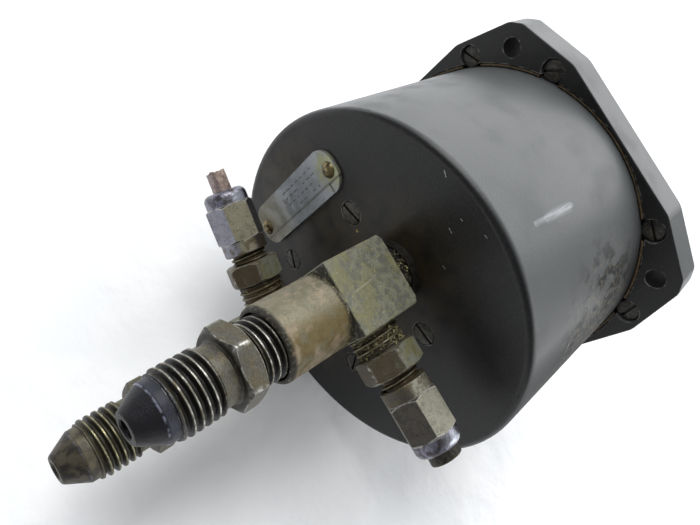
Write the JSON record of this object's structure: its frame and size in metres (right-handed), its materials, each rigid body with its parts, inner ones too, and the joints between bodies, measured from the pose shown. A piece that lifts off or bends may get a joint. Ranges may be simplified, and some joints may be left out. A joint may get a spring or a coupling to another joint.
{
  "type": "torquemeter indicator",
  "caption": "Round panel instrument with a lobed square flange and a cup case. Rear tee fittings carry flared nipples and side unions; Bourdon movements turn pointers over one dial.",
  "frame": {"origin": "centre of the bolt pattern, on the flange's rear face", "axes": "+Y out of the rear of the case along its axis; +Z towards twelve o'clock on the dial; the dial faces -Y"},
  "size_m": [0.0826, 0.1234, 0.0826],
  "materials": {
    "flange_paint": "satin, worn",
    "screw_black": "satin, worn",
    "sealant": "matte",
    "gasket_rubber": "matte",
    "window_glass": "clear",
    "case_paint": "satin, dusty",
    "plate_aluminium": "satin, greasy",
    "rivet_brass": "dull",
    "socket_brass": "machined",
    "washer_dark": "greasy",
    "locknut_steel": "dull",
    "tee_bronze": "tarnished, mottled",
    "nipple_oxide": "blued, worn edges",
    "nipple_dirty": "dirty, worn edges",
    "adapter_dirty": "dirty",
    "nut_worn": "worn, blued ends",
    "plug_dark": "dull",
    "copper": "tarnished copper",
    "spring_bronze": "drawn",
    "movement_brass": "brushed",
    "movement_steel": "turned",
    "pointer_paint": "matte",
    "dial_paint": "matte",
    "mark_paint": "matte"
  },
  "bodies": {
    "case_body": {"flange": "flange_paint", "flange_screws": "screw_black", "case_seal": "sealant", "glass_gaskets": "gasket_rubber", "glass": "window_glass", "case": "case_paint", "socket_screws": "screw_black", "nameplate": "plate_aluminium", "nameplate_rivets": "rivet_brass", "socket_block": "socket_brass", "port_washers": "washer_dark", "port_locknuts": "locknut_steel", "tee_upper": "tee_bronze", "tee_lower": "tee_bronze", "nipple_upper": "nipple_oxide", "nipple_lower": "nipple_dirty", "branch_adapter_upper": "adapter_dirty", "branch_adapter_lower": "adapter_dirty", "bourdon_tube_left": "spring_bronze", "bourdon_tube_right": "spring_bronze", "bourdon_tip_left": "movement_brass", "bourdon_tip_right": "movement_brass", "front_plate": "movement_brass", "back_plate": "movement_brass", "plate_pillars": "movement_brass", "movement_stand_offs": "movement_brass", "movement_screws": "movement_steel", "spring_studs": "movement_brass", "dial": "dial_paint", "dial_feet": "movement_brass", "dial_screws": "screw_black", "scale_marks": "mark_paint"},
    "sector_left": {"sector_left": "movement_brass", "sector_arbor_left": "movement_steel"},
    "staff_left": {"staff_left": "movement_steel", "hairspring_left": "spring_bronze", "pointer_left": "pointer_paint"},
    "link_left": {"link_left": "movement_steel"},
    "sector_right": {"sector_right": "movement_brass", "sector_arbor_right": "movement_steel"},
    "staff_right": {"staff_right": "movement_steel", "hairspring_right": "spring_bronze", "pointer_right": "pointer_paint"},
    "link_right": {"link_right": "movement_steel"},
    "blanking_plug": {"blanking_plug": "plug_dark"},
    "cap_nut": {"cap_nut_upper": "nut_worn"},
    "tube_stub": {"tube_stub": "copper"},
    "tube_nut": {"tube_nut_lower": "nut_worn"}
  },
  "joints": [
    {"name": "sector_left_turn", "type": "hinge", "parent": "case_body", "child": "sector_left", "pos_m": [-0.01, 0.011, 0.0108], "axis": [0, 1, 0], "range_deg": [-16.5, 0], "stiffness_Nm_per_rad": 0.01, "deforming": ["bourdon_tube_left", "bourdon_tip_left"]},
    {"name": "pointer_left_turn", "type": "hinge", "parent": "case_body", "child": "staff_left", "pos_m": [-0.01, 0.011, -0.003], "axis": [0, 1, 0], "range_deg": [0, 110.11], "deforming": ["hairspring_left"]},
    {"name": "link_left_swing", "type": "hinge", "parent": "sector_left", "child": "link_left", "pos_m": [-0.00885, 0.0124, 0.01872], "axis": [0, 1, 0], "range_deg": [0, 16.52]},
    {"name": "sector_right_turn", "type": "hinge", "parent": "case_body", "child": "sector_right", "pos_m": [0.01, 0.011, 0.0108], "axis": [0, 1, 0], "range_deg": [0, 16.5], "stiffness_Nm_per_rad": 0.01, "deforming": ["bourdon_tube_right", "bourdon_tip_right"]},
    {"name": "pointer_right_turn", "type": "hinge", "parent": "case_body", "child": "staff_right", "pos_m": [0.01, 0.011, -0.003], "axis": [0, 1, 0], "range_deg": [-110.11, 0], "deforming": ["hairspring_right"]},
    {"name": "link_right_swing", "type": "hinge", "parent": "sector_right", "child": "link_right", "pos_m": [0.00885, 0.0124, 0.01872], "axis": [0, 1, 0], "range_deg": [-16.52, 0]},
    {"name": "blanking_plug_slide", "type": "slide", "parent": "case_body", "child": "blanking_plug", "axis": [-1, 0, 0], "range_m": [0, 0.004]},
    {"name": "cap_nut_turn", "type": "hinge", "parent": "blanking_plug", "child": "cap_nut", "pos_m": [-0.0251, 0.0629, 0.0116], "axis": [-1, 0, 0], "range_deg": [0, 1444]},
    {"name": "tube_stub_slide", "type": "slide", "parent": "case_body", "child": "tube_stub", "axis": [0.9617, 0, 0.274], "range_m": [0, 0.004]},
    {"name": "tube_nut_turn", "type": "hinge", "parent": "tube_stub", "child": "tube_nut", "pos_m": [0.02591, 0.0629, -0.01128], "axis": [0.9617, 0, 0.274], "range_deg": [0, 1444]}
  ],
  "couplings": [
    {"joint": "pointer_left_turn", "follows": "sector_left_turn", "ratio": -6.6667},
    {"joint": "link_left_swing", "follows": "sector_left_turn", "ratio": -1},
    {"joint": "pointer_right_turn", "follows": "sector_right_turn", "ratio": -6.6667},
    {"joint": "link_right_swing", "follows": "sector_right_turn", "ratio": -1},
    {"joint": "cap_nut_turn", "follows": "blanking_plug_slide", "rad_per_m": 6283.2},
    {"joint": "tube_nut_turn", "follows": "tube_stub_slide", "rad_per_m": 6283.2}
  ]
}
